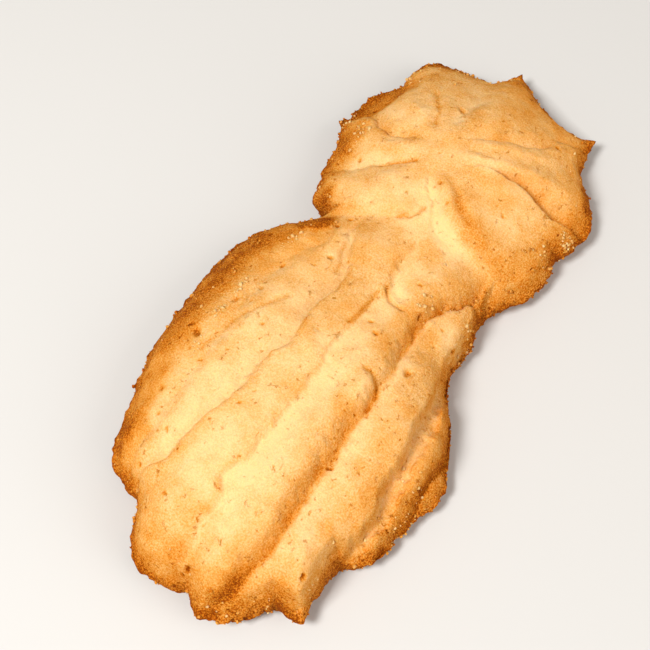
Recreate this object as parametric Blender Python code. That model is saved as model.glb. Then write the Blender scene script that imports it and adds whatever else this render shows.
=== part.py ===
"""A piped shortbread biscuit: a fluted bulb that narrows to a neck and ends in a star-shaped head.

The dough is one solid piece. It is worked out on a grid of columns and rows. A column runs
from the spine, the line along the middle of the biscuit, out to a point of the rim. The rows
of the crust climb from the rim to the spine, and the rows of the base run from the rim down
to the flat foot and back in to the spine. The height of the crust is a dome that falls off
towards the rim, plus the ridges that the star nozzle left. Along the bulb they lie between
lines that run from its round end to the neck, and on the head between creases that fan out
from its peak. The ridges lie like petals on each other: the highest one runs down the middle,
and the others step down from it to the edge. Sizes are in millimetres. +Y runs from the round
end to the head and +Z is up.
"""

import bpy
import numpy as np

MM = 0.001
COLUMNS_A_SIDE = 84  # from the tip of the round end to the far tip of the head
NECK_COLUMN = 50  # the column of each side that ends in the notch between bulb and head
SIDE_POINTS = 160  # points read along each arc of the rim before the columns are spread over it

# Along the spine: (y, x), and the height of the smooth dough there, below the ridges: (y, z).
SPINE_LINE = ((-25.0, -1.0), (-12.0, -1.5), (2.0, 1.5), (12.0, 3.0), (25.0, 2.8))
SPINE_HEIGHTS = ((-25.0, 13.6), (-12.0, 13.2), (2.0, 10.8), (12.0, 10.6), (25.0, 11.8))
SPINE_RADIUS = 0.9  # the innermost row runs round the spine at this distance
SPINE_SHARES = (0.10, 0.86)  # shares of each side's columns where the spine starts and ends

# The dome falls off from the spine to the rim as (1 - out^shoulder)^flank, where out is the
# share of the way. Along the spine: (y, shoulder) and (y, flank).
DOME_SHOULDERS = ((-25.0, 2.5), (-12.0, 2.5), (2.0, 2.3), (12.0, 2.0), (25.0, 1.7))
DOME_FLANKS = ((-25.0, 0.62), (-12.0, 0.62), (2.0, 0.66), (12.0, 0.75), (25.0, 0.85))
RIM_HEIGHT = 2.4  # the widest line of the edge, above the table
LOBE_BLUR = 3  # columns to each side over which the dome evens out the lobes of the rim
LIP = 0.10  # the last share of the way, over which the evened dome comes down to the true rim
CRUST_ROWS = 22
ROWS_TOWARDS_RIM = 1.45  # above 1, the rows lie closer together at the steep edge

# The edge below the rim: (distance in, share of the rim's height, share of scallops lost).
EDGE_ROWS = ((0.35, 0.52, 0.3), (1.1, 0.18, 0.7), (2.4, 0.0, 1.0))
SCALLOP_BLUR = 7  # columns to each side over which the foot's outline is evened out
BASE_ROWS = (0.62, 0.28)  # shares of the way from the spine to the foot

# The rim is a chain of arcs. Each entry is a corner (x, y, lift above RIM_HEIGHT) and the
# point (x, y) that the arc from this corner to the next one passes half way along it.
RIGHT_RIM_TO_NECK = (
    ((1.0, -48.5, 0.6), (5.5, -46.8)),
    ((9.0, -42.8, 0.1), (11.0, -43.3)),
    ((13.2, -43.0, 0.6), (13.2, -39.5)),
    ((13.8, -34.4, 0.0), (16.2, -33.3)),
    ((18.5, -30.8, 0.4), (18.6, -29.0)),
    ((19.2, -27.0, 0.0), (19.9, -24.4)),
    ((21.3, -22.6, 0.1), (21.6, -18.8)),
    ((20.3, -14.8, 0.1), (19.0, -11.0)),
    ((17.2, -8.0, 0.2), (15.8, -5.0)),
    ((15.6, -2.5, 0.4), (16.1, 1.4)),
)
RIGHT_RIM_FROM_NECK = (
    ((15.2, 5.7, 0.7), (17.6, 9.3)),
    ((20.8, 13.5, 0.3), (21.4, 17.0)),
    ((20.9, 20.3, 0.2), (22.0, 21.6)),
    ((23.2, 23.6, 0.8), (23.8, 25.8)),
    ((23.9, 28.2, 0.8), (21.8, 31.8)),
    ((19.0, 35.8, 0.3), (18.7, 38.6)),
    ((18.8, 42.3, 0.9), (11.8, 42.7)),
)
LEFT_RIM_TO_NECK = (
    ((1.0, -48.5, 0.6), (-0.3, -47.4)),
    ((-1.8, -46.1, 0.1), (-5.5, -47.2)),
    ((-9.6, -46.3, 0.5), (-11.1, -44.6)),
    ((-12.6, -41.5, 0.1), (-13.3, -39.3)),
    ((-16.5, -37.2, 0.1), (-19.0, -36.0)),
    ((-20.6, -33.6, 0.6), (-20.7, -31.0)),
    ((-21.6, -28.0, 0.2), (-22.4, -25.0)),
    ((-23.2, -21.0, 0.2), (-23.5, -16.0)),
    ((-22.9, -11.0, 0.2), (-22.8, -6.0)),
    ((-21.8, -1.0, 0.3), (-20.1, 3.6)),
    ((-17.0, 6.8, 0.6), (-13.8, 8.6)),
)
LEFT_RIM_FROM_NECK = (
    ((-10.8, 11.8, 1.0), (-12.6, 12.2)),
    ((-14.6, 13.2, 0.9), (-15.3, 17.5)),
    ((-15.6, 21.5, 0.6), (-15.9, 25.0)),
    ((-17.9, 28.2, 0.9), (-16.5, 30.2)),
    ((-16.2, 33.4, 0.0), (-14.7, 36.1)),
    ((-12.0, 39.0, 0.1), (-11.7, 41.5)),
    ((-10.5, 44.0, 0.9), (-4.5, 45.4)),
    ((0.5, 45.2, 0.4), (1.9, 46.9)),
)
HEAD_TIP = (3.8, 48.9, 0.9)

# The lines between the ridges of the bulb, from its left edge to its right edge: (y, x).
BULB_LINES = (
    ((-36.0, -22.0), (-30.0, -22.5), (-16.0, -23.5), (-6.0, -23.0), (4.0, -19.0)),
    ((-34.4, -15.6), (-25.8, -14.2), (-15.1, -13.3), (-6.0, -12.5), (0.6, -10.2), (4.0, -8.0)),
    ((-37.0, -14.5), (-33.2, -11.4), (-25.6, -8.4), (-16.5, -6.0), (-8.1, -4.6), (6.1, -5.4)),
    ((-41.0, -3.1), (-34.2, -2.4), (-25.5, -0.5), (-9.4, 1.7), (0.0, 3.5)),
    (
        (-47.0, 2.2), (-45.3, 3.5), (-39.8, 5.7), (-31.4, 7.1), (-17.8, 8.2), (-5.5, 9.0), (-2.0, 9.5),
        (1.5, 10.9), (6.6, 13.9),
    ),
    ((-36.0, 13.4), (-30.6, 15.2), (-27.7, 16.0), (-21.4, 15.7), (-10.6, 15.4), (-3.3, 15.4)),
    ((-31.0, 17.4), (-26.9, 18.9), (-16.0, 19.7), (-11.2, 18.5)),
    ((-31.0, 21.0), (-20.0, 23.5), (-11.0, 21.5)),
)
# Across each ridge, from its left line to its right one: (share of the width, height).
BULB_RIDGES = (
    ((0.0, 0.0), (0.35, 0.6), (0.6, 0.75), (0.85, 0.6), (1.0, 0.2)),
    ((0.0, 0.2), (0.25, 0.75), (0.6, 0.55), (0.93, 0.1), (1.0, -0.1)),
    ((0.0, -0.1), (0.1, 1.2), (0.22, 1.4), (0.5, 1.4), (0.85, 1.2), (1.0, 0.5)),
    ((0.0, 0.5), (0.15, 0.65), (0.45, 1.3), (0.62, 1.55), (0.8, 1.25), (1.0, -0.5)),
    ((0.0, -0.5), (0.12, 0.2), (0.45, 1.0), (0.7, 1.4), (0.91, 1.35), (1.0, -1.5)),
    ((0.0, -1.5), (0.38, -0.7), (0.58, 0.6), (0.75, 0.9), (0.9, 0.7), (1.0, -1.6)),
    ((0.0, -1.6), (0.2, -0.3), (0.5, 0.0), (1.0, 0.0)),
)

# The creases of the head, anticlockwise from the notch at its right: each is where the crease
# runs, as (distance from the peak, angle in degrees).
HEAD_PEAK = (1.1, 24.4)
HEAD_CREASES = (
    ((4.0, -105.0), (9.6, -77.5), (12.4, -72.5), (14.4, -65.5), (19.0, -52.5)),
    ((8.0, -38.0), (14.5, -34.0), (17.8, -22.5), (20.0, -12.4)),
    ((3.0, -20.0), (7.8, -2.0), (10.6, 0.0), (14.9, 0.4), (19.2, -1.8)),
    ((5.0, 24.0), (10.7, 22.0), (14.4, 22.0), (20.0, 28.6)),
    ((1.7, 66.0), (5.3, 44.0), (9.9, 38.0), (17.3, 41.0)),
    ((6.3, 97.0), (10.7, 91.0), (17.0, 89.7)),
    ((5.6, 127.7), (11.7, 120.7), (21.4, 121.2)),
    ((4.7, 173.0), (8.2, 177.0), (12.6, 165.5), (17.5, 168.0)),
    ((4.8, 215.7), (10.0, 210.7), (17.5, 202.9)),
    ((8.0, 278.0), (10.7, 276.0), (13.0, 257.1), (18.3, 233.0)),
    ((4.0, 255.0), (9.6, 282.5), (12.4, 287.5), (14.4, 294.5), (19.0, 307.5)),
)
# Across each ridge of the head, anticlockwise: (share of the width, height).
HEAD_RIDGES = (
    ((0.0, 0.0), (0.15, 0.3), (0.32, 1.2), (0.65, 1.7), (1.0, 1.5)),
    ((0.0, 1.5), (0.5, 1.55), (0.9, 1.3), (1.0, -0.5)),
    ((0.0, -0.5), (0.12, -0.1), (0.35, 1.0), (0.6, 1.55), (1.0, 1.3)),
    ((0.0, 1.3), (0.4, 1.55), (0.85, 1.1), (1.0, 0.35)),
    ((0.0, 0.35), (0.2, 0.85), (0.5, 1.3), (0.8, 0.95), (1.0, 0.25)),
    ((0.0, 0.25), (0.5, 0.5), (0.88, 0.35), (1.0, 0.0)),
    ((0.0, 0.0), (0.1, 1.3), (0.35, 1.8), (0.7, 1.25), (1.0, 0.0)),
    ((0.0, 0.0), (0.12, 0.9), (0.4, 1.45), (0.8, 0.85), (1.0, 0.5)),
    ((0.0, 0.5), (0.12, 1.1), (0.35, 1.55), (0.75, 1.2), (1.0, 0.25)),
    ((0.0, 0.25), (0.3, 0.6), (0.75, 0.5), (1.0, 0.0)),
)
HEAD_RELIEF_FROM = (2.0, 10.0)  # the head's ridges rise over these distances from its peak
HEAD_MIDDLE_RISE = 0.7  # of the smooth top inside the ridges
BULB_ENDS_AT = (5.0, 12.0)  # the ridges of the bulb fade out over these y
HEAD_STARTS_AT = (7.0, 14.0)  # the ridges of the head come in over these y
LAST_INSIDE = 1e-6  # a place this far before the last boundary still lies in the last ridge

# Swellings and hollows: (x, y, degrees from +Y, half width, half length, height).
SWELLINGS = (
    (-13.4, 33.6, -30.0, 3.0, 5.6, -2.4),  # the low flank between two lobes of the head
    (12.0, -39.0, 20.0, 2.8, 5.5, 1.2),  # the blunt end of the ridge beside the deep groove
    (7.6, -15.2, 0.0, 1.3, 2.4, 0.9),  # the dough that bridges this groove
    (8.9, -11.0, 0.0, 1.4, 2.4, 0.7),
    (6.3, 16.7, 50.0, 1.1, 2.6, -0.6),  # the dimple in the head's right flank
)


def smooth_step(low, high, value):
    """0 up to low, 1 from high on, and 3t^2 - 2t^3 between."""
    t = np.clip((value - low) / (high - low), 0.0, 1.0)
    return t * t * (3.0 - 2.0 * t)


def through(points, at):
    """A curve through (place, value) points: a cubic from point to point. Its slope at a point
    is the harmonic mean of the slopes to both sides, and level where one rises and one falls."""
    places, values = np.array(points, float).T
    steps = np.diff(places)
    slopes = np.diff(values) / steps
    product = slopes[:-1] * slopes[1:]
    total = np.where(product > 0, slopes[:-1] + slopes[1:], 1.0)
    bends = np.concatenate([slopes[:1], np.where(product > 0, 2.0 * product / total, 0.0), slopes[-1:]])
    i = np.clip(np.searchsorted(places, at, side="right") - 1, 0, len(steps) - 1)
    t = np.clip((at - places[i]) / steps[i], 0.0, 1.0)
    line = values[i] + (values[i + 1] - values[i]) * t * t * (3.0 - 2.0 * t)
    lean_in, lean_out = t * (1.0 - t) ** 2, t * t * (t - 1.0)
    return line + steps[i] * (lean_in * bends[i] + lean_out * bends[i + 1])


def arc_chain(entries, last):
    """Points (x, y, lift) along the arcs, and the index of each corner. An arc is the parabola
    from a corner through its middle point to the next corner."""
    t = np.linspace(0.0, 1.0, SIDE_POINTS, endpoint=False)[:, None]
    corners = [np.array(corner) for corner, _ in entries] + [np.array(last)]
    pieces = []
    for start, end, (_, middle) in zip(corners, corners[1:], entries):
        half_way = np.array([*middle, (start[2] + end[2]) / 2])
        pull = 2.0 * half_way - (start + end) / 2
        pieces.append((1 - t) ** 2 * start + 2 * t * (1 - t) * pull + t**2 * end)
    pieces.append(corners[-1][None])
    return np.concatenate(pieces), SIDE_POINTS * np.arange(len(corners))


def spread(chain, corners, count):
    """count + 1 points spaced evenly along the chain, the nearest one moved to each corner."""
    steps = np.linalg.norm(np.diff(chain[:, :2], axis=0), axis=1)
    length = np.concatenate([[0.0], np.cumsum(steps)])
    places = np.linspace(0.0, length[-1], count + 1)
    for corner in length[corners]:
        places[np.argmin(np.abs(places - corner))] = corner
    return np.stack([np.interp(places, length, chain[:, i]) for i in range(3)], axis=1)


def rim():
    """The rim's (x, y, lift) in columns, anticlockwise from the tip of the round end."""
    past_neck = COLUMNS_A_SIDE - NECK_COLUMN
    sides = []
    for to_neck, from_neck in (
        (RIGHT_RIM_TO_NECK, RIGHT_RIM_FROM_NECK),
        (LEFT_RIM_TO_NECK, LEFT_RIM_FROM_NECK),
    ):
        bulb = spread(*arc_chain(to_neck, from_neck[0][0]), NECK_COLUMN)
        head = spread(*arc_chain(from_neck, HEAD_TIP), past_neck)
        sides.append(np.concatenate([bulb[:-1], head]))
    return np.concatenate([sides[0], sides[1][-2:0:-1]])


def spine_places(columns):
    """How far along the spine (0 to 1) each column starts. The columns of the two ends fan out
    from the spine's ends, and the left column of a pair starts where the right one does."""
    side = np.minimum(np.arange(columns), columns - np.arange(columns)) / (columns / 2)
    return smooth_step(*SPINE_SHARES, side)


def ridges(place, boundaries, profiles):
    """Height across a row of ridges. Each profile fills the width between two neighbouring
    boundaries."""
    place = np.clip(place, boundaries[0], boundaries[-1] - LAST_INSIDE)
    height = np.zeros_like(place)
    for start, end, profile in zip(boundaries, boundaries[1:], profiles):
        share = (place - start) / (end - start)
        inside = (share >= 0) & (share < 1)
        height[inside] = through(profile, share[inside])
    return height


def bulb_relief(x, y):
    """The ridges of the bulb, side by side across x."""
    return ridges(x, [through(line, y) for line in BULB_LINES], BULB_RIDGES)


def head_relief(x, y):
    """The ridges of the head, side by side round its peak, where they die out."""
    across, along = x - HEAD_PEAK[0], y - HEAD_PEAK[1]
    distance = np.hypot(across, along)
    creases = [through(crease, distance) for crease in HEAD_CREASES]
    turn = creases[0] + np.mod(np.degrees(np.arctan2(along, across)) - creases[0], 360.0)
    strength = smooth_step(*HEAD_RELIEF_FROM, distance)
    return ridges(turn, creases, HEAD_RIDGES) * strength + HEAD_MIDDLE_RISE * (1.0 - strength)


def swellings(x, y):
    """The height that the single swellings add, each a soft-edged ellipse."""
    height = np.zeros_like(x)
    for middle_x, middle_y, turn, half_width, half_length, rise in SWELLINGS:
        angle = np.radians(turn)
        across = (x - middle_x) * np.cos(angle) + (y - middle_y) * np.sin(angle)
        along = (y - middle_y) * np.cos(angle) - (x - middle_x) * np.sin(angle)
        height += rise * np.exp(-(((across / half_width) ** 2 + (along / half_length) ** 2) ** 1.5))
    return height


def crust_height(x, y, out, spine_y, evened_out, rim_height):
    """The dome from the spine's height to the rim's, plus the ridges. out is the share of the
    way to the rim, and evened_out to the rim without its lobes."""
    share = np.clip(evened_out, 0.0, 1.0)
    fall = (1.0 - share ** through(DOME_SHOULDERS, spine_y)) ** through(DOME_FLANKS, spine_y)
    bulb = bulb_relief(x, y) * (1.0 - smooth_step(*BULB_ENDS_AT, y))
    head = head_relief(x, y) * smooth_step(*HEAD_STARTS_AT, y)
    above_rim = (through(SPINE_HEIGHTS, spine_y) - rim_height) * fall + bulb + head + swellings(x, y)
    return rim_height + above_rim * np.sqrt(np.clip((1.0 - out) / LIP, 0.0, 1.0))


def evened(outline, reach):
    """The closed outline averaged over reach columns to each side."""
    return sum(np.roll(outline, shift, axis=0) for shift in range(-reach, reach + 1)) / (2 * reach + 1)


def biscuit_rows():
    """The rows of points, from the one round the spine over the crust and the edge to the
    base, each an array of (x, y, z) in columns. The middle of the rim's box is the origin."""
    edge = rim()
    columns = len(edge)
    middle = (edge[:, :2].min(axis=0) + edge[:, :2].max(axis=0)) / 2
    edge[:, :2] -= middle
    spine_start, spine_end = SPINE_LINE[0][0], SPINE_LINE[-1][0]
    spine_y = spine_start + (spine_end - spine_start) * spine_places(columns)
    spine = np.stack([through(SPINE_LINE, spine_y), spine_y], axis=1) - middle
    away = edge[:, :2] - spine
    without_lobes = np.linalg.norm(evened(edge[:, :2], LOBE_BLUR) - spine, axis=1)
    reach = np.linalg.norm(away, axis=1, keepdims=True)
    rim_height = RIM_HEIGHT + edge[:, 2]

    rows = []
    for share in np.linspace(0.0, 1.0, CRUST_ROWS) ** (1.0 / ROWS_TOWARDS_RIM):
        out = SPINE_RADIUS / reach + (1.0 - SPINE_RADIUS / reach) * share
        place = spine + away * out
        evened_out = (out * reach)[:, 0] / without_lobes
        height = crust_height(*place.T, out[:, 0], spine_y, evened_out, rim_height)
        rows.append(np.column_stack([place, height]))
    soft_edge = evened(edge[:, :2], SCALLOP_BLUR)
    for inset, height_share, softened in EDGE_ROWS:
        outline = edge[:, :2] + (soft_edge - edge[:, :2]) * softened
        place = outline - away / reach * inset
        rows.append(np.column_stack([place, rim_height * height_share]))
    foot = rows[-1][:, :2]
    for share in BASE_ROWS:
        place = spine + (foot - spine) * share
        rows.append(np.column_stack([place, np.zeros(columns)]))
    rows.append(np.column_stack([spine + away / reach * SPINE_RADIUS, np.zeros(columns)]))
    return rows


def closed_mesh(name, rows):
    """A mesh with a face between each four neighbours of the grid. The first and the last row
    are each closed by a strip of faces across the spine, from a right column to its left one."""
    count, columns = len(rows), len(rows[0])
    index = np.arange(count * columns).reshape(count, columns)
    beside = np.roll(index, -1, axis=1)
    faces = np.stack([index[:-1], index[1:], beside[1:], beside[:-1]], axis=-1).reshape(-1, 4).tolist()
    for row, order in ((index[0], 1), (index[-1], -1)):
        loop = row.tolist()
        for right in range(columns // 2):
            left = columns - right
            corners = [loop[right], loop[right + 1], loop[left - 1], loop[left % columns]]
            faces.append(list(dict.fromkeys(corners))[::order])
    mesh = bpy.data.meshes.new(name)
    mesh.from_pydata((np.concatenate(rows) * MM).tolist(), [], faces)
    mesh.validate()
    return mesh


def baked_shortbread():
    """Dry, pale golden crust with no shine."""
    material = bpy.data.materials.new("baked_shortbread")
    material.use_nodes = True
    surface = material.node_tree.nodes["Principled BSDF"]
    surface.inputs["Base Color"].default_value = (0.80, 0.52, 0.22, 1.0)
    surface.inputs["Roughness"].default_value = 0.85
    surface.inputs["Metallic"].default_value = 0.0
    return material


for old in list(bpy.data.objects):
    bpy.data.objects.remove(old)

mesh = closed_mesh("biscuit", biscuit_rows())
mesh.materials.append(baked_shortbread())
mesh.shade_smooth()
biscuit = bpy.data.objects.new("biscuit", mesh)
bpy.context.collection.objects.link(biscuit)
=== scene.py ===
"""A piped shortbread biscuit as it comes off the tray: browned crust, pores, grain and crumbs.

A star nozzle laid the dough down as a fluted bulb, was drawn back to a narrow neck, and left a
star-shaped head where it was lifted off. The ridges lie like petals on each other: the highest
one runs down the middle, and the others step down from it to the edge. Sizes are in millimetres
until a mesh is made. +Y runs from the round end to the head and +Z is up.
"""

import bpy
import numpy as np
from mathutils import Matrix, Vector


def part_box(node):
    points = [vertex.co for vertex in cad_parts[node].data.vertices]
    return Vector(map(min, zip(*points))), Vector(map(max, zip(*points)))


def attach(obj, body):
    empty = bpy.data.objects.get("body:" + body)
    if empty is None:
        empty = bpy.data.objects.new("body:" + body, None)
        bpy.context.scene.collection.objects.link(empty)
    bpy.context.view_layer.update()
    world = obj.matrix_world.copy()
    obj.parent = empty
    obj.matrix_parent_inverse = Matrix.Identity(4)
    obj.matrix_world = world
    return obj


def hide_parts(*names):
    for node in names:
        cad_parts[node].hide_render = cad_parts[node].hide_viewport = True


MM = 0.001
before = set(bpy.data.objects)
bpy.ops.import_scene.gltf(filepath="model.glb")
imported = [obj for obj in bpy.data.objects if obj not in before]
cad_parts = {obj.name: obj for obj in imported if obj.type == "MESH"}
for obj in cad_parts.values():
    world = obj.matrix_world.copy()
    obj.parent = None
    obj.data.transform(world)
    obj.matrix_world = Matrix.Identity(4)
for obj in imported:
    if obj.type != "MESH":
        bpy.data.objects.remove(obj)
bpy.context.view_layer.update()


# ---------------------------------------------------------------------------------------------
# The form of the dough: one body, piped in one squeeze and baked flat on a tray. It is a grid
# of columns, which run from the spine along its middle out to the rim, and of rows round it.

COLUMNS_A_SIDE = 470  # from the tip of the round end to the far tip of the head
NECK_COLUMN = 280  # the column of each side that ends in the notch between bulb and head
SIDE_POINTS = 160  # points read along each arc of the rim before the columns are spread over it

# Along the spine: (y, x), and the height of the smooth dough there, below the ridges: (y, z).
SPINE_LINE = ((-25.0, -1.0), (-12.0, -1.5), (2.0, 1.5), (12.0, 3.0), (25.0, 2.8))
SPINE_HEIGHTS = ((-25.0, 13.6), (-12.0, 13.2), (2.0, 10.8), (12.0, 10.6), (25.0, 11.8))
SPINE_RADIUS = 0.12  # the innermost row runs round the spine at this distance

# The dome falls off from the spine to the rim as (1 - out^shoulder)^flank, where out is the
# share of the way. Along the spine: (y, shoulder) and (y, flank).
DOME_SHOULDERS = ((-25.0, 2.5), (-12.0, 2.5), (2.0, 2.3), (12.0, 2.0), (25.0, 1.7))
DOME_FLANKS = ((-25.0, 0.62), (-12.0, 0.62), (2.0, 0.66), (12.0, 0.75), (25.0, 0.85))
RIM_HEIGHT = 2.4  # the widest line of the edge, above the tray
LOBE_BLUR = 17  # columns to each side over which the dome evens out the lobes of the rim
LIP = 0.10  # the last share of the way, over which the evened dome comes down to the true rim
CRUST_ROWS = 92
ROWS_TOWARDS_RIM = 1.25  # above 1, the rows lie closer together at the steep edge

# The edge below the rim: (distance in, share of the rim's height, share of scallops lost).
EDGE_ROWS = (
    (0.12, 0.84, 0.05), (0.3, 0.62, 0.2), (0.65, 0.38, 0.45),
    (1.1, 0.18, 0.7), (1.7, 0.06, 0.9), (2.4, 0.0, 1.0),
)
SCALLOP_BLUR = 40  # columns to each side over which the foot's outline is evened out
BASE_ROWS = (0.86, 0.7, 0.52, 0.34, 0.16)  # shares of the way from the spine to the foot

# The rim is a chain of arcs. Each entry is a corner (x, y, lift above RIM_HEIGHT) and the
# point (x, y) that the arc from this corner to the next one passes half way along it.
RIGHT_RIM_TO_NECK = (
    ((1.0, -48.5, 0.6), (5.5, -46.8)),
    ((9.0, -42.8, 0.1), (11.0, -43.3)),
    ((13.2, -43.0, 0.6), (13.2, -39.5)),
    ((13.8, -34.4, 0.0), (16.2, -33.3)),
    ((18.5, -30.8, 0.4), (18.6, -29.0)),
    ((19.2, -27.0, 0.0), (19.9, -24.4)),
    ((21.3, -22.6, 0.1), (21.6, -18.8)),
    ((20.3, -14.8, 0.1), (19.0, -11.0)),
    ((17.2, -8.0, 0.2), (15.8, -5.0)),
    ((15.6, -2.5, 0.4), (16.1, 1.4)),
)
RIGHT_RIM_FROM_NECK = (
    ((15.2, 5.7, 0.7), (17.6, 9.3)),
    ((20.8, 13.5, 0.3), (21.4, 17.0)),
    ((20.9, 20.3, 0.2), (22.0, 21.6)),
    ((23.2, 23.6, 0.8), (23.8, 25.8)),
    ((23.9, 28.2, 0.8), (21.8, 31.8)),
    ((19.0, 35.8, 0.3), (18.7, 38.6)),
    ((18.8, 42.3, 0.9), (11.8, 42.7)),
)
LEFT_RIM_TO_NECK = (
    ((1.0, -48.5, 0.6), (-0.3, -47.4)),
    ((-1.8, -46.1, 0.1), (-5.5, -47.2)),
    ((-9.6, -46.3, 0.5), (-11.1, -44.6)),
    ((-12.6, -41.5, 0.1), (-13.3, -39.3)),
    ((-16.5, -37.2, 0.1), (-19.0, -36.0)),
    ((-20.6, -33.6, 0.6), (-20.7, -31.0)),
    ((-21.6, -28.0, 0.2), (-22.4, -25.0)),
    ((-23.2, -21.0, 0.2), (-23.5, -16.0)),
    ((-22.9, -11.0, 0.2), (-22.8, -6.0)),
    ((-21.8, -1.0, 0.3), (-20.1, 3.6)),
    ((-17.0, 6.8, 0.6), (-13.8, 8.6)),
)
LEFT_RIM_FROM_NECK = (
    ((-10.8, 11.8, 1.0), (-12.6, 12.2)),
    ((-14.6, 13.2, 0.9), (-15.3, 17.5)),
    ((-15.6, 21.5, 0.6), (-15.9, 25.0)),
    ((-17.9, 28.2, 0.9), (-16.5, 30.2)),
    ((-16.2, 33.4, 0.0), (-14.7, 36.1)),
    ((-12.0, 39.0, 0.1), (-11.7, 41.5)),
    ((-10.5, 44.0, 0.9), (-4.5, 45.4)),
    ((0.5, 45.2, 0.4), (1.9, 46.9)),
)
HEAD_TIP = (3.8, 48.9, 0.9)

# The lines between the ridges of the bulb, from its left edge to its right edge: (y, x).
BULB_LINES = (
    ((-36.0, -22.0), (-30.0, -22.5), (-16.0, -23.5), (-6.0, -23.0), (4.0, -19.0)),
    ((-34.4, -15.6), (-25.8, -14.2), (-15.1, -13.3), (-6.0, -12.5), (-2.5, -11.7), (0.6, -10.2), (4.0, -8.0)),
    (
        (-37.0, -14.5), (-35.1, -12.4), (-33.2, -11.4), (-29.8, -10.0), (-25.6, -8.4), (-22.8, -7.3),
        (-19.6, -6.8), (-16.5, -6.0), (-14.0, -4.4), (-8.1, -4.6), (-4.9, -3.5), (-0.5, -3.5), (6.1, -5.4),
    ),
    (
        (-41.0, -3.1), (-35.5, -2.0), (-34.2, -2.4), (-30.6, -0.8), (-25.5, -0.5), (-17.5, 1.0),
        (-9.4, 1.7), (0.0, 3.5),
    ),
    (
        (-47.0, 2.2), (-45.3, 3.5), (-39.8, 5.7), (-35.9, 6.6), (-31.4, 7.1), (-24.1, 7.7), (-17.8, 8.2),
        (-8.8, 8.9), (-5.5, 9.0), (-2.0, 9.5), (1.5, 10.9), (6.6, 13.9),
    ),
    (
        (-36.0, 13.4), (-33.9, 14.0), (-30.6, 15.2), (-27.7, 16.0), (-25.6, 15.5), (-21.4, 15.7),
        (-15.9, 15.5), (-10.6, 15.4), (-7.2, 14.8), (-3.3, 15.4),
    ),
    ((-31.0, 17.4), (-28.9, 18.2), (-26.9, 18.9), (-21.0, 19.3), (-16.0, 19.7), (-11.2, 18.5)),
    ((-31.0, 21.0), (-20.0, 23.5), (-11.0, 21.5)),
)
# Across each ridge, from its left line to its right one: (share of the width, height, browning).
BULB_RIDGES = (
    ((0.0, 0.0, 0.66), (0.35, 0.6, 0.64), (0.56, 0.75, 0.54), (0.76, 0.68, 0.28), (1.0, 0.2, 0.2)),
    ((0.0, 0.2, 0.2), (0.25, 0.75, 0.16), (0.6, 0.55, 0.09), (0.93, 0.1, 0.03), (1.0, -0.1, 0.04)),
    (
        (0.0, -0.1, 0.05), (0.04, 0.25, 0.2), (0.1, 1.2, 0.3), (0.22, 1.4, 0.22), (0.5, 1.4, 0.14),
        (0.85, 1.2, 0.17), (0.93, 1.0, 0.22), (1.0, 0.5, 0.06),
    ),
    (
        (0.0, 0.5, 0.0), (0.15, 0.65, 0.0), (0.45, 1.3, 0.08), (0.62, 1.55, 0.2), (0.8, 1.25, 0.34),
        # the browning that rises into the deep groove here, and starts the next ridge, is partly real browning and
        # partly painted shade on the groove's steep flank
        (0.92, 0.2, 0.5), (1.0, -0.5, 0.64),
    ),
    (
        (0.0, -0.5, 0.64), (0.05, -0.35, 0.48), (0.12, 0.2, 0.16), (0.2, 0.5, 0.14), (0.45, 1.0, 0.26),
        (0.7, 1.4, 0.33), (0.91, 1.35, 0.36), (0.96, 0.5, 0.5), (1.0, -1.5, 0.3),
    ),
    (
        (0.0, -1.5, 0.3), (0.1, -1.45, 0.2), (0.38, -0.7, 0.18), (0.46, 0.0, 0.3), (0.58, 0.6, 0.36),
        # the slit at this ridge's right edge, and the start of the next ridge, are browned darkest: partly real
        # browning, partly painted shade in the slit
        (0.75, 0.9, 0.42), (0.9, 0.7, 0.5), (0.96, -0.6, 0.9), (1.0, -1.6, 1.0),
    ),
    ((0.0, -1.6, 1.0), (0.08, -0.9, 0.6), (0.2, -0.3, 0.36), (0.5, 0.0, 0.3), (1.0, 0.0, 0.3)),
)

# The creases of the head, anticlockwise from the notch at its right: each is where the crease
# runs, as (distance from the peak, angle in degrees).
HEAD_PEAK = (1.1, 24.4)
HEAD_CREASES = (
    ((4.0, -105.0), (9.6, -77.5), (12.4, -72.5), (14.4, -65.5), (16.2, -59.0), (19.0, -52.5)),
    ((8.0, -38.0), (14.5, -34.0), (17.8, -22.5), (20.0, -12.4)),
    ((3.0, -20.0), (7.8, -2.0), (10.6, 0.0), (14.9, 0.4), (16.7, -1.4), (19.2, -1.8), (21.3, 0.3)),
    ((5.0, 24.0), (10.7, 22.0), (14.4, 22.0), (20.0, 28.6)),
    ((1.7, 66.0), (5.3, 44.0), (9.9, 38.0), (13.2, 37.9), (17.3, 41.0)),
    ((6.3, 97.0), (10.7, 91.0), (17.0, 89.7)),
    ((5.6, 127.7), (8.8, 122.4), (11.7, 120.7), (16.0, 120.0), (21.4, 121.2)),
    ((4.7, 173.0), (8.2, 177.0), (10.1, 173.0), (12.6, 165.5), (15.2, 164.3), (17.5, 168.0)),
    ((4.8, 215.7), (7.8, 214.5), (10.0, 210.7), (13.1, 210.0), (17.5, 202.9)),
    ((8.0, 278.0), (10.7, 276.0), (13.0, 257.1), (15.8, 244.9), (18.3, 233.0)),
    ((4.0, 255.0), (9.6, 282.5), (12.4, 287.5), (14.4, 294.5), (16.2, 301.0), (19.0, 307.5)),
)
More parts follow.
